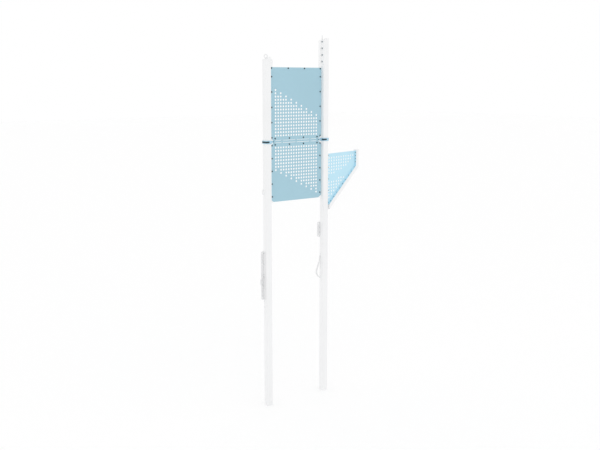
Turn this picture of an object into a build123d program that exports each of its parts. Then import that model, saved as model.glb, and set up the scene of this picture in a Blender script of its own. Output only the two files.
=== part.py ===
from build123d import *
from math import cos, hypot, radians, tan
import os

# A two-post sign: two perforated panels between square posts, a clamp collar on each post at
# the panels' joint, a hinged side wing on the right post, an eye bolt on each post and hand
# fittings lower down.  Millimetres.  Origin: on the ground, midway between the posts.
# +X runs from the left post to the right post, +Y to the back, +Z up.

# ---- posts ----
post_side = 60.0
post_wall = 3.0
post_corner = 6.0
left_post_rise = 62.0          # tube tops above the upper panel's top edge
right_post_rise = 251.0
panel_side_gap = 9.0           # between a panel's edge and the post's inner face
fit_gap = 0.3                  # side clearance of a piece that slides into or over another
edge_gap = 1.0                 # clearance between the ends of neighbouring strips and rails

# ---- fasteners: thread, head width, head height, nut width, nut height ----
m8 = (8.0, 14.0, 4.4, 13.0, 6.8)
m5 = (5.0, 9.5, 2.75, 8.0, 4.0)
m4 = (4.0, 7.6, 2.2, 7.0, 3.2)
thread_gap = 0.1               # radial gap between a thread and its hole
bolt_tail = 2.0                # thread that shows past a nut

# ---- post caps and eye bolts ----
cap_ledge = 8.0                # height of the low shelf above the tube
cap_peak = 28.5                # height of the raised part above the tube
cap_ledge_width = 19.0
cap_slope_width = 38.0
cap_skirt = 30.0
cap_skirt_wall = 3.0
cap_boss = 15.0
cap_boss_depth = 18.0
eye_inset = 12.0               # from the cap's -X edge to the eye's axis
eye_stagger = 15.0             # the left eye stands this far forward, the right one this far back
eye_rod = 9.0
eye_hole = 20.0
eye_centre = 27.0              # ring centre above the cap's shelf
eye_collar = 13.0
eye_collar_height = 11.0
left_eye_turn = -37.0
right_eye_turn = 53.0

# ---- feet ----
foot_height = 80.0
foot_bolt = 16.0
foot_bolt_depth = 50.0
foot_screw_height = 65.0
foot_screw_length = 14.0

# ---- rails that carry the panels ----
rail_rise = 10.0               # rail top above the tube top
rail_bottom = 1985.0
rail_leg_front = 22.0
rail_leg_back = 24.0
rail_leg_thick = 4.0
rail_flange_lap = 32.0         # the flange reaches this far in behind the panel's edge
rail_flange_thick = 4.0
rail_corner = 12.0
rail_hole = 11.0
rail_hole_inset = 19.0         # the flange's open holes, in from the panel's edge
rail_pitch = 62.0
rail_first = 17.0              # first bolt and first hole below the rail top
rail_bolt_y = -8.0
rail_screw_y = 14.0
rail_screw_length = 9.0

# ---- sign panels ----
panel_width = 600.0
panel_thick = 3.0
joint_height = 2555.0          # middle of the gap between the two panels
joint_half_gap = 12.5
upper_panel_top = 3238.0
lower_panel_bottom = 1990.0
corner_cut_x = 35.0
corner_cut_z = 25.0
hole_pitch = 30.0
hole_diameter = 18.6
hole_columns = 17
first_row = 56.0               # first row of holes above and below the joint
upper_rows = 15
lower_rows = 8
screw_edge = 15.0              # side screws in from the panel's edge
upper_screw_pitch = 140.0
upper_screw_first = 38.0
lower_screw_pitch = 120.0
lower_screw_first = 35.0
side_screw_count = 5
top_screw_drop = 8.0
top_screw_x = 95.0
joint_screw_z = 29.0
joint_screw_insets = (217.0, 52.0)   # in from the panel's side edges

# ---- strips behind the panels ----
strip_thick = 3.0
top_strip_height = 30.0
mid_strip_height = 80.0
tongue_height = 20.0
tongue_overhang = 6.0          # past the panel's side edge, into the collar's slit
slot_height = 4.0
slot_offset = 11.0             # slots above and below the joint
slot_inset = 55.0              # slot ends in from the panel's side edges
slot_tab = 13.0
slot_tab_x = 165.0

# ---- collars ----
collar_height = 28.0
collar_thick = 5.5
collar_tail_inset = 42.0       # the tail's end, in from the panel's side edge
collar_tail_root_height = 27.0
collar_tail_tip_height = 12.0
collar_screw_inset = 33.0
band_height = 16.0
band_depth = 2.0
band_front = 40.0              # the band runs this far along the front face
left_band_end = 30.0           # Y where the band ends on the -X face
right_band_end = -6.0

# ---- wing: x is the distance out from the hinge axis, y is to the back of the wing ----
wing_rest_angle = 15.3         # the wing stands swung this far back from the sign's plane
hinge_reach = 13.0             # hinge axis from the right post's outer face
wing_inner = 10.0
wing_outer = 480.0             # hinge axis to the upright's inner face
wing_top = 2411.0
wing_foot = 1901.4             # height of the slanted edge's line at the hinge axis
wing_slope = 36.6              # degrees
wing_sheet = 2.5
wing_lip = 15.0
wing_first_row = 43.0          # first row of holes below the top edge
wing_first_column = 27.5
wing_column_pitch = 41.5
wing_tube = 40.0
wing_tube_wall = 2.5
wing_tube_corner = 4.0
upright_rise = 10.0            # tube top above the panel's top edge
upright_cap_thick = 3.0
upright_cap_plug = 16.0
brace_plug_thick = 3.0
brace_start = 14.0             # the brace is cut upright this far out from the axis
lip_screw_depth = 9.5          # lip screws in front of the sheet
lip_screw_length = 7.0
upright_screw_first = 18.0
upright_screw_pitch = 32.0
upright_screw_count = 4
brace_screw_last = 460.0
brace_screw_pitch = 64.0
brace_screw_count = 9

# ---- wing hinge ----
upper_hinge_height = 2385.0
lower_hinge_height = 1878.0
knuckle_radius = 8.0
knuckle_height = 22.0          # the wing's knuckle, with its end clearance
knuckle_end_gap = 0.4
ear_height = 12.0
ear_thick = 8.0
hinge_pin = 8.0
hinge_pin_head = 11.0
hinge_pin_head_height = 3.0
turn_gap = 0.08
leaf_thick = 4.0
leaf_width = 32.0
leaf_height = 72.0
leaf_screw_offset = 29.0
stile_start = 9.5
stile_width = 8.0
stile_thick = 6.0
stile_screw_count = 5
knuckle_plate_thick = 3.0
knuckle_plate_margin = 1.5
knuckle_web = 6.0

# ---- long bracket, bow handle, small loop and plugs on the left post ----
bracket_bottom = 1056.0
bracket_top = 1523.0
bracket_leg = 40.0
bracket_reach = 28.0           # flange edge from the post's face
bracket_thick = 4.0
bracket_corner = 12.0
bracket_hole = 12.0
bracket_hole_reach = 14.0
bracket_hole_heights = (1508.0, 1402.0, 1178.0, 1072.0)
bracket_screw_inset = 16.0     # in from the post's back face
bracket_screw_heights = (1508.0, 1402.0, 1072.0)
bow_heights = (1291.0, 1178.0)
bow_reach = 43.0               # rod centre line from the post's face
bow_rod = 10.0
bow_foot = 14.0
bow_foot_thick = 3.0
bow_shoulder = 36.0
loop_heights = (2069.0, 2110.0)
loop_rod = 6.0
loop_reach = 15.0
loop_inset = 10.0              # in from the post's back face
loop_bend = 8.0
plug_heights = (1042.0, 984.0)

# ---- short bracket and rod handle on the right post ----
link_bottom = 1590.0
link_top = 1740.0
link_reach = 31.0              # plate edge from the post's face
link_corner = 15.0
link_hole = 13.0
link_hole_reach = 16.0
link_hole_inset = 15.0
link_leg = 20.0
link_screw_inset = 11.0        # in from the post's back face
link_screw_heights = (1686.0, 1635.0)
handle_inset = 12.0            # in from the post's back face
handle_rod = 10.0
handle_top = 1400.0
handle_bottom = 1178.0
handle_standoff = 5.0          # rod centre from the post's face at the top bend
handle_knee = (13.0, 1343.0)   # distance from the post's face, and height
handle_elbow = (51.0, 1237.0)
handle_low_bend = (34.0, 1203.0)
handle_low_standoff = 9.0
handle_bends = [5.5, 50.0, 40.0, 40.0, 12.0]
grip_wall = 2.5
grip_start = 8.0               # past the knee
grip_end = 12.0                # past the low bend
handle_screw_height = 1417.0

post_half = post_side / 2
panel_half = panel_width / 2
post_centre = panel_half + panel_side_gap + post_half      # from the origin to each post's axis
left_post_height = upper_panel_top + left_post_rise
right_post_height = upper_panel_top + right_post_rise
rail_flange_edge = panel_half - rail_flange_lap
collar_tail_tip = panel_half - collar_tail_inset
collar_screw_x = panel_half - collar_screw_inset
slot_end = panel_half - slot_inset
hinge_x = post_half + hinge_reach
wing_far = wing_outer + wing_tube            # hinge axis to the upright's outer face
bracket_screw_y = post_half - bracket_screw_inset
loop_y = post_half - loop_inset
link_screw_y = post_half - link_screw_inset
handle_y = post_half - handle_inset
post_inner = post_centre - post_half         # inner face of each post, from the origin
post_outer = post_centre + post_half
panel_back = panel_thick / 2
upper_panel_bottom = joint_height + joint_half_gap
lower_panel_top = joint_height - joint_half_gap


def square_tube(side, wall, corner, length):
    outer = RectangleRounded(side, side, corner)
    inner = RectangleRounded(side - 2 * wall, side - 2 * wall, max(corner - wall, 1.0))
    return extrude(outer - inner, length)


def rod_along(points, bends, diameter):
    path = FilletPolyline(*points, radius=bends)
    start = Plane(origin=path @ 0, z_dir=path % 0)
    return sweep(start * Circle(diameter / 2), path=path)


def screw(size, length):
    # head above z = 0 with a hexagon socket, shank below
    thread, head, head_height = size[:3]
    dome = Cylinder(head / 2, head_height, align=(Align.CENTER, Align.CENTER, Align.MIN))
    dome = fillet(dome.edges().group_by(Axis.Z)[-1], head_height * 0.55)
    shank = Cylinder(thread / 2 - thread_gap, length, align=(Align.CENTER, Align.CENTER, Align.MAX))
    socket = Plane.XY.offset(head_height * 0.4) * RegularPolygon(thread * 0.34, 6)
    return dome + shank - extrude(socket, head_height)


def nut(size):
    body = extrude(RegularPolygon(size[3] / 2, 6, major_radius=False), size[4])
    return body - Cylinder(size[0] / 2, size[4] * 3)


def facing(direction):
    # turns a screw drawn along +Z so that its head faces this way
    turns = {"-Y": (90, 0, 0), "+Y": (-90, 0, 0), "+X": (0, 90, 0), "-X": (0, -90, 0)}
    return Rotation(*turns[direction])


def drill(diameter, direction, depth=60.0):
    return facing(direction) * Cylinder(diameter / 2, depth)


def on_side(shape, side):
    # pieces are drawn on the right-hand side and mirrored for the left
    return shape if side > 0 else mirror(shape, Plane.YZ)


def post_height(side):
    return left_post_height if side < 0 else right_post_height


def rail_top(side):
    return post_height(side) + rail_rise


# ---- posts, caps, eyes and feet ----
def rail_bolt_heights(side):
    # the bolts and the flange's open holes are above the panels only
    first = rail_top(side) - rail_first
    clear = upper_panel_top + m8[1]
    count = int((first - clear) // rail_pitch) + 1
    return [first - rail_pitch * step for step in range(max(count, 0))]


def rail_screw_heights():
    heights = []
    for step in range(side_screw_count - 1):
        heights.append(joint_height + upper_screw_first + upper_screw_pitch * (step + 0.5))
        heights.append(joint_height - lower_screw_first - lower_screw_pitch * (step + 0.5))
    return heights


def post(side):
    tube = square_tube(post_side, post_wall, post_corner, post_height(side))
    body = Pos(side * post_centre, 0, 0) * tube
    holes = []
    for height in rail_bolt_heights(side):
        holes.append(Pos(side * post_inner, rail_bolt_y, height) * drill(m8[0], "+X", 20))
    for height in rail_screw_heights():
        holes.append(Pos(side * post_inner, rail_screw_y, height) * drill(m5[0], "+X", 20))
    holes.append(Pos(side * post_centre, post_half, foot_screw_height) * drill(m8[0], "+Y", 20))
    holes += left_fixing_holes() if side < 0 else right_fixing_holes()
    return body - holes


def left_fixing_holes():
    holes = []
    for height in bracket_screw_heights + bow_heights:
        holes.append(Pos(-post_outer, bracket_screw_y, height) * drill(m5[0], "+X", 20))
    for height in loop_heights:
        holes.append(Pos(-post_outer, loop_y, height) * drill(loop_rod, "+X", 20))
    for height in plug_heights:
        holes.append(Pos(-post_outer, bracket_screw_y, height) * drill(m4[0], "+X", 20))
    return holes


def right_fixing_holes():
    holes = []
    for height in leaf_screw_heights():
        holes.append(Pos(post_outer, 0, height) * drill(m5[0], "+X", 20))
    for height in link_screw_heights:
        holes.append(Pos(post_inner, link_screw_y, height) * drill(m4[0], "+X", 20))
    for height in (handle_top, handle_bottom):
        holes.append(Pos(post_inner, handle_y, height) * drill(handle_rod, "+X", 20))
    holes.append(Pos(post_inner, handle_y, handle_screw_height) * drill(m4[0], "+X", 20))
    return holes


def foot_block(side):
    width = post_side - 2 * post_wall - 2 * fit_gap
    block = extrude(RectangleRounded(width, width, post_corner - post_wall), foot_height)
    block -= Cylinder(foot_bolt / 2, foot_bolt_depth, align=(Align.CENTER, Align.CENTER, Align.MIN))
    block -= Pos(0, width / 2, foot_screw_height) * drill(m8[0], "+Y", 2 * foot_screw_length)
    return Pos(side * post_centre, 0, 0) * block


def foot_screws():
    body = facing("+Y") * screw(m8, foot_screw_length)
    return Compound(children=[Pos(side * post_centre, post_half, foot_screw_height) * body
                              for side in (-1, 1)])


def eye_place(side):
    x = side * post_centre - post_half + eye_inset
    return Pos(x, side * eye_stagger, post_height(side) + cap_ledge)


def post_cap(side):
    ledge = cap_ledge_width - post_half
    outline = Polyline((-post_half, 0), (-post_half, cap_ledge), (ledge, cap_ledge),
                       (ledge + cap_slope_width, cap_peak), (post_half, cap_peak), (post_half, 0),
                       close=True)
    wedge = extrude(Plane.XZ * make_face(outline), post_half, both=True)
    top = wedge & extrude(RectangleRounded(post_side, post_side, post_corner), cap_peak)
    inside = post_side - 2 * post_wall - 2 * fit_gap
    skirt = square_tube(inside, cap_skirt_wall, post_corner - post_wall, cap_skirt)
    boss = Cylinder(cap_boss / 2, cap_boss_depth, align=(Align.CENTER, Align.CENTER, Align.MAX))
    boss = Pos(eye_inset - post_half, side * eye_stagger, 0) * boss
    room = Box(inside, inside, 2 * cap_skirt)
    cap = top + Pos(0, 0, -cap_skirt) * skirt + (boss & room)
    cap -= Pos(eye_inset - post_half, side * eye_stagger, 0) * Cylinder(m8[0] / 2, 4 * cap_skirt)
    # the top rail bolt passes through the skirt and holds the cap
    cap -= Pos(-side * post_half, rail_bolt_y, rail_rise - rail_first) * drill(m8[0], "+X", 20)
    return Pos(side * post_centre, 0, post_height(side)) * cap


def eye_bolt(side):
    ring = Pos(0, 0, eye_centre) * Rotation(90, 0, 0) * Torus((eye_hole + eye_rod) / 2, eye_rod / 2)
    collar_ring = Cylinder(eye_collar / 2, eye_collar_height,
                           align=(Align.CENTER, Align.CENTER, Align.MIN))
    shank = Cylinder(m8[0] / 2 - thread_gap, cap_ledge + cap_boss_depth,
                     align=(Align.CENTER, Align.CENTER, Align.MAX))
    turn = left_eye_turn if side < 0 else right_eye_turn
    return eye_place(side) * Rotation(0, 0, turn) * (ring + collar_ring + shank)


# ---- rails ----
def rail(side, bottom, top, upper):
    width = rail_leg_front + rail_leg_back
    leg = Box(rail_leg_thick, width, top - bottom, align=(Align.MAX, Align.MIN, Align.MIN))
    leg = Pos(post_inner, -rail_leg_front, bottom) * leg
    reach = post_inner - rail_flange_edge
    flange = Box(reach, rail_flange_thick, top - bottom, align=(Align.MIN, Align.MIN, Align.MIN))
    corner = flange.edges().filter_by(Axis.Y).group_by(Axis.X)[0]
    flange = fillet(corner.sort_by(Axis.Z)[-1] if upper else corner.sort_by(Axis.Z)[0], rail_corner)
    body = leg + Pos(rail_flange_edge, panel_back, bottom) * flange
    for height in rail_bolt_heights(side):
        body -= Pos(post_inner, rail_bolt_y, height) * drill(m8[0] + 2 * fit_gap, "+X")
        body -= Pos(panel_half - rail_hole_inset, 0, height) * drill(rail_hole, "+Y")
    for height in rail_screw_heights():
        body -= Pos(post_inner, rail_screw_y, height) * drill(m5[0] + 2 * fit_gap, "+X", 20)
    for x, height in side_screw_spots():
        body -= Pos(x, 0, height) * drill(m8[0] + 2 * fit_gap, "+Y")
    return on_side(body, side)


def upper_rail(side):
    return rail(side, joint_height + collar_height / 2 + edge_gap, rail_top(side), True)


def lower_rail(side):
    return rail(side, rail_bottom, joint_height - collar_height / 2 - edge_gap, False)


def rail_fixings(size, length, y, heights_of):
    group = []
    for side in (-1, 1):
        for height in heights_of(side):
            body = Pos(post_inner - rail_leg_thick, y, height) * facing("-X") * screw(size, length)
            group.append(on_side(body, side))
    return Compound(children=group)


def rail_bolts():
    length = rail_leg_thick + post_wall + bolt_tail
    return rail_fixings(m8, length, rail_bolt_y, rail_bolt_heights)


def rail_screws():
    return rail_fixings(m5, rail_screw_length, rail_screw_y, lambda side: rail_screw_heights())


# ---- panels ----
def side_screw_spots():
    # the right-hand side screws of both panels, as (x, height)
    x = panel_half - screw_edge
    spots = [(x, upper_panel_top - top_screw_drop)]
    for step in range(side_screw_count):
        spots.append((x, joint_height + upper_screw_first + upper_screw_pitch * step))
        spots.append((x, joint_height - lower_screw_first - lower_screw_pitch * step))
    return spots


def inner_screw_spots():
    spots = []
    for sign in (-1, 1):
        spots.append((sign * top_screw_x, upper_panel_top - top_screw_drop))
        for inset in joint_screw_insets:
            x = panel_half - inset
            spots.append((sign * x, joint_height + joint_screw_z))
            spots.append((sign * x, joint_height - joint_screw_z))
    return spots


def screw_spots():
    both_sides = [(sign * x, height) for x, height in side_screw_spots() for sign in (-1, 1)]
    return both_sides + inner_screw_spots()


def backing(x):
    # thickness of what the screw goes through behind the panel
    return rail_flange_thick if abs(x) > rail_flange_edge else strip_thick


def hole_spots(row_counts, direction):
    spots = []
    for column, rows in enumerate(row_counts):
        x = (column - (hole_columns - 1) / 2) * hole_pitch
        for row in range(rows):
            spots.append((x, joint_height + direction * (first_row + hole_pitch * row)))
    return spots


def upper_row_counts():
    # one row fewer every second column; the columns between stop two rows lower
    return [upper_rows - column // 2 - 2 * (column % 2) for column in range(hole_columns)]


def lower_row_counts():
    return [lower_rows + column // 2 - column % 2 for column in range(hole_columns)]


def perforated(outline, holes, bottom, top):
    face = make_face(outline)
    face -= [Pos(x, z) * Circle(hole_diameter / 2) for x, z in holes]
    screws = [(x, z) for x, z in screw_spots() if bottom < z < top]
    face -= [Pos(x, z) * Circle(m8[0] / 2 + fit_gap) for x, z in screws]
    return extrude(Plane.XZ * face, panel_thick / 2, both=True)


def upper_panel():
    low, high = upper_panel_bottom, upper_panel_top
    outline = Polyline((corner_cut_x - panel_half, low), (panel_half - corner_cut_x, low),
                       (panel_half, low + corner_cut_z), (panel_half, high), (-panel_half, high),
                       (-panel_half, low + corner_cut_z), close=True)
    return perforated(outline, hole_spots(upper_row_counts(), 1), low, high)


def lower_panel():
    low, high = lower_panel_bottom, lower_panel_top
    outline = Polyline((corner_cut_x - panel_half, low), (panel_half - corner_cut_x, low),
                       (panel_half, low + corner_cut_z), (panel_half, high - corner_cut_z),
                       (panel_half - corner_cut_x, high), (corner_cut_x - panel_half, high),
                       (-panel_half, high - corner_cut_z), (-panel_half, low + corner_cut_z), close=True)
    return perforated(outline, hole_spots(lower_row_counts(), -1), low, high)


def panel_screws(bottom, top):
    group = []
    for x, height in screw_spots():
        if bottom < height < top:
            length = panel_thick + backing(x) + m8[4] + bolt_tail
            group.append(Pos(x, -panel_back, height) * facing("-Y") * screw(m8, length))
    return Compound(children=group)


def panel_nuts():
    return Compound(children=[Pos(x, panel_back + backing(x), height) * facing("+Y") * nut(m8)
                              for x, height in screw_spots()])


def drilled_strip(face, low, high):
    body = Pos(0, panel_back, 0) * extrude(Plane.XZ * face, -strip_thick)
    for x, z in inner_screw_spots():
        if low < z < high:
            body -= Pos(x, 0, z) * drill(m8[0] + 2 * fit_gap, "+Y")
    return body


def top_strip():
    centre = upper_panel_top - top_strip_height / 2
    width = 2 * (rail_flange_edge - edge_gap)
    face = Pos(0, centre) * Rectangle(width, top_strip_height)
    return drilled_strip(face, upper_panel_top - top_strip_height, upper_panel_top)


def mid_strip():
    plate = Rectangle(2 * (rail_flange_edge - edge_gap), mid_strip_height)
    face = plate + Rectangle(2 * (panel_half + tongue_overhang), tongue_height)
    inner = slot_tab_x - slot_tab
    outer = slot_end - slot_tab_x - slot_tab / 2
    for sign in (-1, 1):
        for row in (-1, 1):
            near = Pos(sign * slot_tab_x / 2, row * slot_offset) * Rectangle(inner, slot_height)
            far = Pos(sign * (slot_end - outer / 2), row * slot_offset) * Rectangle(outer, slot_height)
            face -= near + far
    for sign in (-1, 1):
        face -= Pos(sign * collar_screw_x, 0) * Circle(m5[0] / 2 + fit_gap)
    half = mid_strip_height / 2
    return drilled_strip(Pos(0, joint_height) * face, joint_height - half, joint_height + half)


# ---- collars ----
def collar_tail(front):
    root = collar_tail_root_height / 2
    tip = collar_tail_tip_height / 2
    outline = Polyline((post_inner - collar_thick / 2, -root), (post_inner - collar_thick / 2, root),
                       (post_inner - collar_thick, root), (collar_tail_tip, tip),
                       (collar_tail_tip, -tip), (post_inner - collar_thick, -root), close=True)
    plate = extrude(Plane.XZ * make_face(outline), -panel_thick)
    return Pos(0, front, joint_height) * plate


def collar(side):
    # a strap round the post, open at the inner face, where two tails clasp the strip's tongue
    outer = post_side + 2 * collar_thick
    hole = post_side + 2 * fit_gap
    plan = RectangleRounded(outer, outer, post_corner + collar_thick)
    plan -= RectangleRounded(hole, hole, post_corner + fit_gap)
    slit = Rectangle(2 * collar_thick, strip_thick, align=(Align.CENTER, Align.MIN))
    plan -= Pos(-post_half - collar_thick / 2, panel_back) * slit
    strap = extrude(plan, collar_height / 2, both=True)
    strap = fillet(strap.edges().filter_by(Plane.XY).group_by(SortBy.LENGTH)[-1], 0.8)
    body = Pos(post_centre, 0, joint_height) * strap
    body += collar_tail(-panel_back)
    body += collar_tail(panel_back + strip_thick)
    body -= Pos(collar_screw_x, 0, joint_height) * drill(m5[0] + 2 * fit_gap, "+Y")
    return on_side(body, side) - collar_band(side)


def collar_band(side):
    # an inlay with round ends, along the -X face and round the corner on to the front face
    half = post_half + collar_thick
    outer = 2 * half
    inner = outer - 2 * band_depth
    ring = RectangleRounded(outer, outer, post_corner + collar_thick)
    ring -= RectangleRounded(inner, inner, post_corner + collar_thick - band_depth)
    ring = extrude(ring, band_height / 2, both=True)
    end = left_band_end if side < 0 else right_band_end
    front_slot = Pos(-half - band_height, 0) * slot_from(band_height + band_front)
    front = extrude(Plane.XZ * front_slot, half)
    front = front & Pos(0, -half, 0) * Box(4 * half, 2 * collar_thick, outer)
    side_slot = Pos(-half - band_height, 0) * slot_from(band_height + half + end)
    west = extrude(Plane.YZ * side_slot, half, both=True)
    west = west & Pos(-half, 0, 0) * Box(2 * collar_thick, 4 * half, outer)
    return Pos(side * post_centre, 0, joint_height) * (ring & (front + west))


def slot_from(length):
    # a round-ended slot that starts at the origin and runs along +X
    return Pos(length / 2, 0) * SlotOverall(length, band_height)


def collar_screws():
    length = 2 * panel_thick + strip_thick + m5[4] + bolt_tail
    body = facing("-Y") * screw(m5, length)
    return Compound(children=[Pos(side * collar_screw_x, -panel_back, joint_height) * body
                              for side in (-1, 1)])


def collar_nuts():
    back = panel_back + strip_thick + panel_thick
    body = facing("+Y") * nut(m5)
    return Compound(children=[Pos(side * collar_screw_x, back, joint_height) * body
                              for side in (-1, 1)])


# ---- wing, drawn flat and then swung to its rest angle ----
def wing_place():
    return Pos(post_centre + hinge_x, 0, 0) * Rotation(0, 0, wing_rest_angle)


def slant_height(x):
    return wing_foot + x * tan(radians(wing_slope))


def slant_place(x):
    # a frame on the slanted edge, with +X up along it
    return Pos(x, 0, slant_height(x)) * Rotation(0, -wing_slope, 0)


def wing_hole_spots():
    # rows from the top down, as (first column, number of holes); a slanting stripe is left solid
    rows = [(0, 11), (0, 10), (0, 9), (0, 8), (0, 6), (0, 3), (0, 0), (4, 3),
            (0, 6), (0, 5), (0, 4), (0, 3), (0, 2), (0, 1)]
    spots = []
    for row, (first, count) in enumerate(rows):
        height = wing_top - wing_first_row - hole_pitch * row
        for column in range(first, first + count):
            spots.append((wing_first_column + wing_column_pitch * column, height))
    return spots


def stile_heights():
    low = slant_height(stile_start + stile_width) + edge_gap
    return low, wing_top - upright_cap_thick


def stile_screw_spots():
    low, high = stile_heights()
    margin = 2 * m4[1]
    pitch = (high - low - 2 * margin) / (stile_screw_count - 1)
    x = stile_start + stile_width / 2
    return [(x, low + margin + pitch * step) for step in range(stile_screw_count)]


def lip_screw_places():
    # frames on the lips' upper faces, with +Z away from the tubes
    depth = -lip_screw_depth
    places = []
    for step in range(upright_screw_count):
        height = wing_top - upright_screw_first - upright_screw_pitch * step
        places.append(Pos(wing_outer - wing_sheet, depth, height) * Rotation(0, -90, 0))
    for step in range(brace_screw_count):
        x = brace_screw_last - brace_screw_pitch * cos(radians(wing_slope)) * step
        places.append(slant_place(x) * Pos(0, depth, wing_sheet))
    return places


def lip_screw_holes(diameter):
    return [place * Cylinder(diameter / 2, 2 * lip_screw_length) for place in lip_screw_places()]


def wing_panel():
    low, high = slant_height(wing_inner), slant_height(wing_outer)
    outline = Polyline((wing_inner, low), (wing_outer, high), (wing_outer, wing_top),
                       (wing_inner, wing_top), close=True)
    face = make_face(outline)
    face -= [Pos(x, z) * Circle(hole_diameter / 2) for x, z in wing_hole_spots()]
    face -= [Pos(x, z) * Circle(m4[0] / 2 + fit_gap) for x, z in stile_screw_spots()]
    body = extrude(Plane.XZ * face, wing_sheet / 2, both=True)
    body += Pos(wing_outer, 0, high) * Box(wing_sheet, wing_lip, wing_top - high,
                                           align=(Align.MAX, Align.MAX, Align.MIN))
    run = hypot(wing_outer - wing_inner, high - low)
    slant_lip = Box(run, wing_lip, wing_sheet, align=(Align.MIN, Align.MAX, Align.MIN))
    body += slant_place(wing_inner) * slant_lip
    return wing_place() * (body - lip_screw_holes(m4[0] + 2 * fit_gap))


def wing_lip_screws():
    body = screw(m4, lip_screw_length)
    return Compound(children=[wing_place() * place * body for place in lip_screw_places()])


def wing_upright():
    high = wing_top + upright_rise
    tube = square_tube(wing_tube, wing_tube_wall, wing_tube_corner, high - lower_panel_bottom)
    tube = Pos(wing_outer + wing_tube / 2, 0, lower_panel_bottom) * tube
    below = Box(4 * wing_outer, 2 * wing_tube, 2 * wing_outer,
                align=(Align.CENTER, Align.CENTER, Align.MAX))
    return wing_place() * (tube - slant_place(wing_outer) * below - lip_screw_holes(m4[0]))


def wing_brace():
    run = (wing_far - brace_start) / cos(radians(wing_slope)) + 4 * wing_tube
    tube = Rotation(0, 90, 0) * square_tube(wing_tube, wing_tube_wall, wing_tube_corner, run)
    tube = slant_place(brace_start) * Pos(-2 * wing_tube, 0, -wing_tube / 2) * tube
    window = Box(wing_far - brace_start, 2 * wing_tube, 4 * wing_outer,
                 align=(Align.MIN, Align.CENTER, Align.CENTER))
    window = Pos(brace_start, 0, wing_foot) * window
    return wing_place() * ((tube & window) - lip_screw_holes(m4[0]))


def wing_brace_plug():
    # closes the brace's outer end, flush with its upright cut
    inside = wing_tube - 2 * wing_tube_wall - 2 * fit_gap
    section = RectangleRounded(inside, inside, wing_tube_corner - wing_tube_wall)
    bar = Rotation(0, 90, 0) * extrude(section, 4 * wing_tube)
    bar = slant_place(wing_far) * Pos(-2 * wing_tube, 0, -wing_tube / 2) * bar
    window = Box(brace_plug_thick, 2 * wing_tube, 4 * wing_tube,
                 align=(Align.MAX, Align.CENTER, Align.CENTER))
    window = Pos(wing_far, 0, slant_height(wing_far)) * window
    return wing_place() * (bar & window)


def wing_upright_cap():
    plate = extrude(RectangleRounded(wing_tube, wing_tube, wing_tube_corner), upright_cap_thick)
    inside = wing_tube - 2 * wing_tube_wall - 2 * fit_gap
    plug = square_tube(inside, 2.0, 1.5, upright_cap_plug)
    cap = plate + Pos(0, 0, -upright_cap_plug) * plug
    return wing_place() * Pos(wing_outer + wing_tube / 2, 0, wing_top + upright_rise) * cap


def wing_stile():
    low, high = stile_heights()
    bar = Box(stile_width, stile_thick, high - low, align=(Align.MIN, Align.MIN, Align.MIN))
    body = Pos(stile_start, wing_sheet / 2, low) * bar
    height = knuckle_height - 2 * knuckle_end_gap
    web = Box(stile_start, stile_thick, height, align=(Align.MIN, Align.MIN, Align.CENTER))
    body += Pos(0, wing_sheet / 2, upper_hinge_height) * web
    body += Pos(0, 0, upper_hinge_height) * Cylinder(knuckle_radius, height)
    body -= Pos(0, 0, upper_hinge_height) * Cylinder(hinge_pin / 2 + turn_gap, 2 * height)
    for x, z in stile_screw_spots():
        body -= Pos(x, wing_sheet / 2, z) * drill(m4[0], "+Y", 2 * stile_thick + wing_sheet)
    return wing_place() * body


def wing_stile_screws():
    body = facing("-Y") * screw(m4, wing_sheet + stile_thick)
    return Compound(children=[wing_place() * Pos(x, -wing_sheet / 2, z) * body
                              for x, z in stile_screw_spots()])


def lower_hinge_knuckle():
    # a plate that closes the brace's cut end and carries the lower knuckle
    high = slant_height(brace_start - knuckle_plate_thick) - knuckle_plate_margin
    low = slant_height(brace_start) - wing_tube / cos(radians(wing_slope)) + knuckle_plate_margin
    depth = wing_tube - 2 * knuckle_plate_margin
    plate = Box(knuckle_plate_thick, depth, high - low, align=(Align.MAX, Align.CENTER, Align.MIN))
    body = Pos(brace_start, 0, low) * plate
    height = knuckle_height - 2 * knuckle_end_gap
    reach = brace_start - knuckle_plate_thick / 2
    web = Box(reach, knuckle_web, height, align=(Align.MIN, Align.CENTER, Align.CENTER))
    body += Pos(0, 0, lower_hinge_height) * (web + Cylinder(knuckle_radius, height))
    body -= Pos(0, 0, lower_hinge_height) * Cylinder(hinge_pin / 2 + turn_gap, 2 * height)
    return wing_place() * body


def leaf_screw_heights():
    middles = (upper_hinge_height, lower_hinge_height)
    return [middle + sign * leaf_screw_offset for middle in middles for sign in (-1, 1)]


def hinge_leaf(height):
    plate = Box(leaf_thick, leaf_width, leaf_height, align=(Align.MIN, Align.CENTER, Align.CENTER))
    body = Pos(post_half, 0, 0) * plate
    for sign in (-1, 1):
        middle = sign * (knuckle_height + ear_height) / 2
        web = Box(hinge_x - post_half, ear_thick, ear_height,
                  align=(Align.MIN, Align.CENTER, Align.CENTER))
        body += Pos(post_half, 0, middle) * web
        body += Pos(hinge_x, 0, middle) * Cylinder(knuckle_radius, ear_height)
        body -= Pos(post_half, 0, sign * leaf_screw_offset) * drill(m5[0] + 2 * fit_gap, "+X", 20)
    body -= Pos(hinge_x, 0, 0) * Cylinder(hinge_pin / 2, 2 * leaf_height)
    return Pos(post_centre, 0, height) * body


def hinge_pin_piece(height):
    length = knuckle_height + 2 * ear_height
    head = Cylinder(hinge_pin_head / 2, hinge_pin_head_height,
                    align=(Align.CENTER, Align.CENTER, Align.MIN))
    head = fillet(head.edges().group_by(Axis.Z)[-1], hinge_pin_head_height * 0.4)
    pin = Cylinder(hinge_pin / 2, length) + Pos(0, 0, length / 2) * head
    return Pos(post_centre + hinge_x, 0, height) * pin


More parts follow.
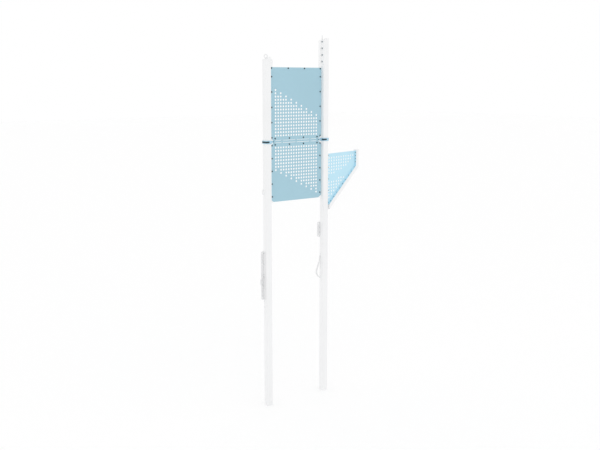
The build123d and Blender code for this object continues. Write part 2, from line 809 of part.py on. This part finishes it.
def hinge_leaf_screws():
    body = facing("+X") * screw(m5, leaf_thick + post_wall + bolt_tail)
    return Compound(children=[Pos(post_outer + leaf_thick, 0, z) * body for z in leaf_screw_heights()])


# ---- hand fittings on the left post ----
def long_bracket():
    height = bracket_top - bracket_bottom
    leg = Box(bracket_thick, bracket_leg, height, align=(Align.MAX, Align.MAX, Align.MIN))
    flange = Box(bracket_reach, bracket_thick, height, align=(Align.MAX, Align.MAX, Align.MIN))
    flange = fillet(flange.edges().filter_by(Axis.Y).group_by(Axis.X)[0], bracket_corner)
    body = Pos(-post_outer, post_half, bracket_bottom) * (leg + flange)
    for z in bracket_hole_heights:
        body -= Pos(-post_outer - bracket_hole_reach, post_half, z) * drill(bracket_hole, "+Y", 20)
    for z in bracket_screw_heights + bow_heights:
        body -= Pos(-post_outer, bracket_screw_y, z) * drill(m5[0] + 2 * fit_gap, "+X", 20)
    return body


def long_bracket_screws():
    body = facing("-X") * screw(m5, bracket_thick + post_wall + bolt_tail)
    face = -post_outer - bracket_thick
    return Compound(children=[Pos(face, bracket_screw_y, z) * body for z in bracket_screw_heights])


def bow_handle():
    # a bent rod with a round foot at each end
    face = -post_outer - bracket_thick
    far = -post_outer - bow_reach
    top, bottom = bow_heights
    points = [(face, bracket_screw_y, top), (face - bow_foot, bracket_screw_y, top),
              (far, bracket_screw_y, top - bow_shoulder),
              (far, bracket_screw_y, bottom + bow_shoulder),
              (face - bow_foot, bracket_screw_y, bottom), (face, bracket_screw_y, bottom)]
    body = rod_along(points, [bow_foot, 2 * bow_foot, 2 * bow_foot, bow_foot], bow_rod)
    for z in bow_heights:
        foot = facing("-X") * Cylinder(bow_foot / 2, bow_foot_thick,
                                       align=(Align.CENTER, Align.CENTER, Align.MIN))
        body += Pos(face, bracket_screw_y, z) * foot
        body -= Pos(face, bracket_screw_y, z) * drill(m5[0], "+X", 2 * bow_foot_thick)
    return body


def bow_handle_studs():
    length = bow_foot_thick + bracket_thick + post_wall + bolt_tail
    stud = facing("-X") * Cylinder(m5[0] / 2 - thread_gap, length,
                                   align=(Align.CENTER, Align.CENTER, Align.MAX))
    start = -post_outer - bracket_thick - bow_foot_thick
    return Compound(children=[Pos(start, bracket_screw_y, z) * stud for z in bow_heights])


def wire_loop():
    far = -post_outer - loop_reach + loop_rod / 2
    inside = -post_outer + post_wall
    low, high = loop_heights
    points = [(inside, loop_y, low), (far, loop_y, low), (far, loop_y, high), (inside, loop_y, high)]
    return rod_along(points, [loop_bend, loop_bend], loop_rod)


def post_plugs():
    body = facing("-X") * screw(m4, post_wall + bolt_tail)
    return Compound(children=[Pos(-post_outer, bracket_screw_y, z) * body for z in plug_heights])


# ---- hand fittings on the right post ----
def link_bracket():
    height = link_top - link_bottom
    leg = Box(bracket_thick, link_leg, height - 2 * link_corner,
              align=(Align.MAX, Align.MAX, Align.CENTER))
    plate = Box(link_reach, bracket_thick, height, align=(Align.MAX, Align.MAX, Align.CENTER))
    plate = fillet(plate.edges().filter_by(Axis.Y).group_by(Axis.X)[0], link_corner)
    body = Pos(post_inner, post_half, (link_top + link_bottom) / 2) * (leg + plate)
    for z in (link_top - link_hole_inset, link_bottom + link_hole_inset):
        body -= Pos(post_inner - link_hole_reach, post_half, z) * drill(link_hole, "+Y", 20)
    for z in link_screw_heights:
        body -= Pos(post_inner, link_screw_y, z) * drill(m4[0] + 2 * fit_gap, "+X", 20)
    return body


def link_bracket_screws():
    body = facing("-X") * screw(m4, bracket_thick + post_wall + bolt_tail)
    return Compound(children=[Pos(post_inner - bracket_thick, link_screw_y, z) * body
                              for z in link_screw_heights])


def handle_point(spot):
    return Vector(post_inner - spot[0], handle_y, spot[1])


def loop_handle():
    points = [handle_point((-post_wall, handle_top)), handle_point((handle_standoff, handle_top)),
              handle_point(handle_knee), handle_point(handle_elbow), handle_point(handle_low_bend),
              handle_point((handle_low_standoff, handle_bottom)),
              handle_point((-post_wall, handle_bottom))]
    return rod_along(points, handle_bends, handle_rod)


def loop_handle_grip():
    knee, elbow = handle_point(handle_knee), handle_point(handle_elbow)
    low = handle_point(handle_low_bend)
    last = handle_point((handle_low_standoff, handle_bottom))
    points = [knee + (elbow - knee).normalized() * grip_start, elbow, low,
              low + (last - low).normalized() * grip_end]
    outer = rod_along(points, handle_bends[2:4], handle_rod + 2 * grip_wall)
    return outer - rod_along(points, handle_bends[2:4], handle_rod)


def loop_handle_screw():
    place = Pos(post_inner, handle_y, handle_screw_height)
    return place * facing("-X") * screw(m4, post_wall + bolt_tail)


def build():
    return {
        "left_post": post(-1),
        "right_post": post(1),
        "left_foot_block": foot_block(-1),
        "right_foot_block": foot_block(1),
        "foot_screws": foot_screws(),
        "left_post_cap": post_cap(-1),
        "right_post_cap": post_cap(1),
        "left_eye_bolt": eye_bolt(-1),
        "right_eye_bolt": eye_bolt(1),
        "left_upper_rail": upper_rail(-1),
        "right_upper_rail": upper_rail(1),
        "left_lower_rail": lower_rail(-1),
        "right_lower_rail": lower_rail(1),
        "rail_bolts": rail_bolts(),
        "rail_screws": rail_screws(),
        "upper_panel": upper_panel(),
        "lower_panel": lower_panel(),
        "upper_panel_screws": panel_screws(upper_panel_bottom, upper_panel_top),
        "lower_panel_screws": panel_screws(lower_panel_bottom, lower_panel_top),
        "panel_nuts": panel_nuts(),
        "top_strip": top_strip(),
        "mid_strip": mid_strip(),
        "left_collar": collar(-1),
        "right_collar": collar(1),
        "left_collar_band": collar_band(-1),
        "right_collar_band": collar_band(1),
        "collar_screws": collar_screws(),
        "collar_nuts": collar_nuts(),
        "wing_panel": wing_panel(),
        "wing_upright": wing_upright(),
        "wing_brace": wing_brace(),
        "wing_brace_plug": wing_brace_plug(),
        "wing_upright_cap": wing_upright_cap(),
        "wing_stile": wing_stile(),
        "lower_hinge_knuckle": lower_hinge_knuckle(),
        "wing_lip_screws": wing_lip_screws(),
        "wing_stile_screws": wing_stile_screws(),
        "upper_hinge_leaf": hinge_leaf(upper_hinge_height),
        "lower_hinge_leaf": hinge_leaf(lower_hinge_height),
        "upper_hinge_pin": hinge_pin_piece(upper_hinge_height),
        "lower_hinge_pin": hinge_pin_piece(lower_hinge_height),
        "hinge_leaf_screws": hinge_leaf_screws(),
        "long_bracket": long_bracket(),
        "long_bracket_screws": long_bracket_screws(),
        "bow_handle": bow_handle(),
        "bow_handle_studs": bow_handle_studs(),
        "wire_loop": wire_loop(),
        "post_plugs": post_plugs(),
        "link_bracket": link_bracket(),
        "link_bracket_screws": link_bracket_screws(),
        "loop_handle": loop_handle(),
        "loop_handle_grip": loop_handle_grip(),
        "loop_handle_screw": loop_handle_screw(),
    }


os.makedirs("parts", exist_ok=True)
for name, shape in build().items():
    export_step(shape, f"parts/{name}.step")
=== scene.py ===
import math

import bpy
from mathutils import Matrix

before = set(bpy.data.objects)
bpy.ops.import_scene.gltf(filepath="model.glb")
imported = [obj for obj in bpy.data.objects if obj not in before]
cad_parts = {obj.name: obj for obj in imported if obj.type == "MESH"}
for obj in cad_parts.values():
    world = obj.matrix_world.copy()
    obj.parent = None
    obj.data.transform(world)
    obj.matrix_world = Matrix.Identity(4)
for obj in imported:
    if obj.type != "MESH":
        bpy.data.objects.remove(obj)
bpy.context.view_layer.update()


# ---- Posts and caps ----
# Two square steel tubes.  Each is closed by a formed cap, pushed in and held by the top rail bolt.
# All are powder coated white, which leaves a very fine orange peel.
post_white = (0.90, 0.905, 0.91)
coat_ior = 1.45


def powder_coat(name, colour, roughness, cloudiness=0.03):
    patch_scale = 2.4        # patches about 400 mm across
    peel_scale = 420.0       # bumps about 2 mm across
    peel_height = 0.0003
    shinier, duller = 0.05, 0.06
    coat = bpy.data.materials.new(name)
    coat.use_nodes = True
    tree = coat.node_tree
    shader = tree.nodes["Principled BSDF"]
    shader.inputs["IOR"].default_value = coat_ior
    place = tree.nodes.new("ShaderNodeTexCoord")

    # thick and thin patches of coat, a shade apart
    patches = tree.nodes.new("ShaderNodeTexNoise")
    patches.inputs["Scale"].default_value = patch_scale
    patches.inputs["Detail"].default_value = 5.0
    tree.links.new(place.outputs["Object"], patches.inputs["Vector"])
    shades = tree.nodes.new("ShaderNodeValToRGB")
    thin, thick = shades.color_ramp.elements
    thin.position, thick.position = 0.32, 0.68
    thin.color = [part * (1 - cloudiness) for part in colour] + [1]
    thick.color = list(colour) + [1]
    tree.links.new(patches.outputs["Fac"], shades.inputs["Fac"])
    tree.links.new(shades.outputs["Color"], shader.inputs["Base Color"])

    # the gloss changes a little with the same patches
    gloss = tree.nodes.new("ShaderNodeMapRange")
    gloss.inputs["To Min"].default_value = roughness - shinier
    gloss.inputs["To Max"].default_value = roughness + duller
    tree.links.new(patches.outputs["Fac"], gloss.inputs["Value"])
    tree.links.new(gloss.outputs["Result"], shader.inputs["Roughness"])

    # orange peel
    peel = tree.nodes.new("ShaderNodeTexNoise")
    peel.inputs["Scale"].default_value = peel_scale
    peel.inputs["Detail"].default_value = 2.0
    tree.links.new(place.outputs["Object"], peel.inputs["Vector"])
    surface = tree.nodes.new("ShaderNodeBump")
    surface.inputs["Strength"].default_value = 0.12
    surface.inputs["Distance"].default_value = peel_height
    tree.links.new(peel.outputs["Fac"], surface.inputs["Height"])
    tree.links.new(surface.outputs["Normal"], shader.inputs["Normal"])
    return coat


def finish_in(material, *names):
    for name in names:
        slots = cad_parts[name].data.materials
        slots.clear()
        slots.append(material)


white_coat = powder_coat("white_coat", post_white, roughness=0.42)
finish_in(white_coat, "left_post", "right_post", "left_post_cap", "right_post_cap")


# ---- Foot blocks and their screws ----
# A cast iron block fills the bottom of each tube.  It is drilled from below for a ground stud, and
# a zinc plated screw through the tube's back holds it.
iron_grey = (0.17, 0.175, 0.18)
zinc_grey = (0.60, 0.64, 0.67)


def cast_iron(name, colour):
    grain_scale = 260.0      # pits about 4 mm across
    grain_depth = 0.0005
    iron = bpy.data.materials.new(name)
    iron.use_nodes = True
    tree = iron.node_tree
    shader = tree.nodes["Principled BSDF"]
    shader.inputs["Metallic"].default_value = 0.75
    shader.inputs["Roughness"].default_value = 0.62
    place = tree.nodes.new("ShaderNodeTexCoord")

    # a grainy, slightly pitted face
    grain = tree.nodes.new("ShaderNodeTexVoronoi")
    grain.inputs["Scale"].default_value = grain_scale
    tree.links.new(place.outputs["Object"], grain.inputs["Vector"])
    shades = tree.nodes.new("ShaderNodeValToRGB")
    shades.color_ramp.elements[0].color = [part * 0.8 for part in colour] + [1]
    shades.color_ramp.elements[1].color = list(colour) + [1]
    tree.links.new(grain.outputs["Distance"], shades.inputs["Fac"])
    tree.links.new(shades.outputs["Color"], shader.inputs["Base Color"])
    surface = tree.nodes.new("ShaderNodeBump")
    surface.inputs["Strength"].default_value = 0.4
    surface.inputs["Distance"].default_value = grain_depth
    tree.links.new(grain.outputs["Distance"], surface.inputs["Height"])
    tree.links.new(surface.outputs["Normal"], shader.inputs["Normal"])
    return iron


def turned_steel(name, colour, roughness, metallic):
    smudge_scale = 180.0     # smudges about 6 mm across
    spread = 0.08
    steel = bpy.data.materials.new(name)
    steel.use_nodes = True
    tree = steel.node_tree
    shader = tree.nodes["Principled BSDF"]
    shader.inputs["Metallic"].default_value = metallic
    place = tree.nodes.new("ShaderNodeTexCoord")

    # smudges, in both the colour and the gloss
    smudge = tree.nodes.new("ShaderNodeTexNoise")
    smudge.inputs["Scale"].default_value = smudge_scale
    smudge.inputs["Detail"].default_value = 3.0
    tree.links.new(place.outputs["Object"], smudge.inputs["Vector"])
    shades = tree.nodes.new("ShaderNodeValToRGB")
    shades.color_ramp.elements[0].color = [part * 0.85 for part in colour] + [1]
    shades.color_ramp.elements[1].color = [min(part * 1.12, 1) for part in colour] + [1]
    tree.links.new(smudge.outputs["Fac"], shades.inputs["Fac"])
    tree.links.new(shades.outputs["Color"], shader.inputs["Base Color"])
    gloss = tree.nodes.new("ShaderNodeMapRange")
    gloss.inputs["To Min"].default_value = roughness - spread
    gloss.inputs["To Max"].default_value = roughness + spread
    tree.links.new(smudge.outputs["Fac"], gloss.inputs["Value"])
    tree.links.new(gloss.outputs["Result"], shader.inputs["Roughness"])
    return steel


zinc = turned_steel("zinc", zinc_grey, roughness=0.38, metallic=0.8)
finish_in(cast_iron("foot_iron", iron_grey), "left_foot_block", "right_foot_block")
finish_in(zinc, "foot_screws")


# ---- Rails ----
# White coated steel T-sections: one leg lies on each post's inner face, and a flange stands behind
# the panels.  They are cut in two so that the collars can pass between them.
rail_white = (0.93, 0.935, 0.94)
rail_coat = powder_coat("rail_coat", rail_white, roughness=0.45)
finish_in(rail_coat, "left_upper_rail", "right_upper_rail", "left_lower_rail", "right_lower_rail")


# ---- Rail bolts and rail screws ----
# Steel button heads that fix the rails to the posts: large ones above the panels, coloured a dark
# blue-grey that is painted shade for the shadowed, blue-tinted holes in the rail, and small
# blackened ones behind them.
# dark blue-grey painted shade for the large rail bolts
painted_shade_bolt_grey = (0.27, 0.32, 0.35)
black_steel = (0.045, 0.062, 0.078)
bolt_painted_shade = turned_steel("bolt_painted_shade", painted_shade_bolt_grey, roughness=0.45, metallic=0.3)
dark_screw = turned_steel("dark_screw", black_steel, roughness=0.42, metallic=0.35)
finish_in(bolt_painted_shade, "rail_bolts")
finish_in(dark_screw, "rail_screws")


# ---- Sign panels and their screws ----
# Two 3 mm steel sheets, punched with columns of round holes of stepped length and coated light
# blue.  Blackened button-head screws with nuts behind hold them to the rails and strips.
sign_blue = (0.385, 0.60, 0.70)
sign_coat = powder_coat("sign_coat", sign_blue, roughness=0.48, cloudiness=0.04)
finish_in(sign_coat, "upper_panel", "lower_panel")
finish_in(dark_screw, "upper_panel_screws", "lower_panel_screws", "panel_nuts")


# ---- Strips behind the panels ----
# Flat steel bars, coated like the panels and held by their screws: a plain one along the top
# edge, and a slotted one that bridges the joint and runs a tongue into each collar.
finish_in(sign_coat, "top_strip", "mid_strip")


# ---- Collars ----
# A coated steel strap bent round each post, with two tails that clasp the slotted bar's tongue
# under one screw.  A dark band in a moulded finish is let into its left face and round on to the
# front; its near-black colour is painted shade, standing for the shade and dark reflection on the
# collar's left face that fade out across the front.
collar_blue = (0.40, 0.64, 0.78)
# near-black painted shade for the collar bands
painted_shade_dark = (0.012, 0.040, 0.055)


def moulded(name, colour, roughness):
    leather_scale = 650.0    # grain about 1.5 mm across
    leather_depth = 0.0002
    plastic = bpy.data.materials.new(name)
    plastic.use_nodes = True
    tree = plastic.node_tree
    shader = tree.nodes["Principled BSDF"]
    shader.inputs["Roughness"].default_value = roughness
    place = tree.nodes.new("ShaderNodeTexCoord")

    # the fine leathery grain of the mould
    leather = tree.nodes.new("ShaderNodeTexNoise")
    leather.inputs["Scale"].default_value = leather_scale
    leather.inputs["Detail"].default_value = 3.0
    tree.links.new(place.outputs["Object"], leather.inputs["Vector"])
    shades = tree.nodes.new("ShaderNodeValToRGB")
    shades.color_ramp.elements[0].color = [part * 0.9 for part in colour] + [1]
    shades.color_ramp.elements[1].color = list(colour) + [1]
    tree.links.new(leather.outputs["Fac"], shades.inputs["Fac"])
    tree.links.new(shades.outputs["Color"], shader.inputs["Base Color"])
    surface = tree.nodes.new("ShaderNodeBump")
    surface.inputs["Strength"].default_value = 0.25
    surface.inputs["Distance"].default_value = leather_depth
    tree.links.new(leather.outputs["Fac"], surface.inputs["Height"])
    tree.links.new(surface.outputs["Normal"], shader.inputs["Normal"])
    return plastic


collar_coat = powder_coat("collar_coat", collar_blue, roughness=0.46)
collar_painted_shade = moulded("collar_painted_shade", painted_shade_dark, roughness=0.55)
finish_in(collar_coat, "left_collar", "right_collar")
finish_in(collar_painted_shade, "left_collar_band", "right_collar_band")
finish_in(dark_screw, "collar_screws", "collar_nuts")


# ---- Side wing ----
# A thinner punched sheet with two edges folded forward and screwed to a white tube frame: a capped
# upright, and a plugged brace welded under it.  A stile behind the sheet's inner edge and a plate
# on the brace's cut end carry the knuckles.
# the sign panels' blue painted lighter: a painted highlight for the light the wing takes, as it
# faces the light more than the panels
wing_blue_painted_lighter = (0.52, 0.79, 0.92)
wing_coat_painted_lighter = powder_coat("wing_coat_painted_lighter", wing_blue_painted_lighter, roughness=0.44, cloudiness=0.035)
finish_in(wing_coat_painted_lighter, "wing_panel")
finish_in(white_coat, "wing_upright", "wing_upright_cap", "wing_brace", "wing_brace_plug")
finish_in(white_coat, "wing_stile", "lower_hinge_knuckle")
finish_in(dark_screw, "wing_lip_screws", "wing_stile_screws")


# ---- Wing hinges ----
# Two coated steel leaves, each with a pair of ears, are screwed to the right post.  A zinc plated
# pin passes through the ears and the wing's knuckle between them.
fitting_grey = (0.83, 0.835, 0.84)
fitting_coat = powder_coat("fitting_coat", fitting_grey, roughness=0.5)
finish_in(fitting_coat, "upper_hinge_leaf", "lower_hinge_leaf")
finish_in(zinc, "upper_hinge_pin", "lower_hinge_pin", "hinge_leaf_screws")


# ---- Eye bolts ----
# Forged steel rings with a collar and a threaded shank, coated pale grey and screwed down into
# the caps.
finish_in(fitting_coat, "left_eye_bolt", "right_eye_bolt")


# ---- Fittings on the left post ----
# A long coated angle screwed to the post's side, with a bow of bent rod held through it by two
# studs.  A small wire loop is let into the post above, and two zinc plated screws sit below.
finish_in(fitting_coat, "long_bracket", "bow_handle", "wire_loop")
finish_in(zinc, "long_bracket_screws", "bow_handle_studs", "post_plugs")


# ---- Fittings on the right post ----
# A short coated angle held by two screws, and a rod handle with both ends let into the post and a
# screw above it.  A moulded sleeve covers the part that the hand takes.
sleeve_grey = (0.82, 0.825, 0.83)
finish_in(fitting_coat, "link_bracket", "loop_handle")
finish_in(moulded("sleeve", sleeve_grey, roughness=0.6), "loop_handle_grip")
finish_in(zinc, "link_bracket_screws", "loop_handle_screw")


# ---- Floor, light and camera ----
# A plain pale floor under an even white surround, with one wide, weak lamp in front and above.
# The camera stands in front and to the left, nearly as high as the sign's top edge.
floor_half = 60.0
floor_white = (0.995, 0.995, 0.995, 1)
floor_roughness = 0.9
lamp_place = (-2.0, -7.0, 7.0)
lamp_tilt, lamp_turn = 50.0, -16.0
lamp_width = 6.0
lamp_power = 8.0
camera_place = (-4.759, -6.348, 3.105)
camera_tilt, camera_turn = 80.254, -37.11
floor_mesh = bpy.data.meshes.new("floor")
corners = [(-floor_half, -floor_half, 0), (floor_half, -floor_half, 0),
           (floor_half, floor_half, 0), (-floor_half, floor_half, 0)]
floor_mesh.from_pydata(corners, [], [(0, 1, 2, 3)])
floor = bpy.data.objects.new("floor", floor_mesh)
bpy.context.scene.collection.objects.link(floor)
floor_paint = bpy.data.materials.new("floor_paint")
floor_paint.use_nodes = True
floor_shader = floor_paint.node_tree.nodes["Principled BSDF"]
floor_shader.inputs["Base Color"].default_value = floor_white
floor_shader.inputs["Roughness"].default_value = floor_roughness
floor_shader.inputs["IOR"].default_value = coat_ior
floor_mesh.materials.append(floor_paint)

surround = bpy.data.worlds.new("surround")
surround.use_nodes = True
sky = surround.node_tree.nodes["Background"]
sky.inputs["Color"].default_value = (1, 1, 1, 1)
sky.inputs["Strength"].default_value = 1.0
bpy.context.scene.world = surround

lamp_data = bpy.data.lights.new("soft_lamp", "AREA")
lamp_data.shape = "DISK"
lamp_data.size = lamp_width
lamp_data.energy = lamp_power
lamp = bpy.data.objects.new("soft_lamp", lamp_data)
lamp.location = lamp_place
lamp.rotation_euler = (math.radians(lamp_tilt), 0, math.radians(lamp_turn))
bpy.context.scene.collection.objects.link(lamp)

camera_data = bpy.data.cameras.new("camera")
camera_data.lens = 50.0
camera_data.sensor_width = 36.0
camera = bpy.data.objects.new("camera", camera_data)
camera.location = camera_place
camera.rotation_euler = (math.radians(camera_tilt), 0, math.radians(camera_turn))
bpy.context.scene.collection.objects.link(camera)
bpy.context.scene.camera = camera
bpy.context.scene.view_settings.view_transform = "Standard"
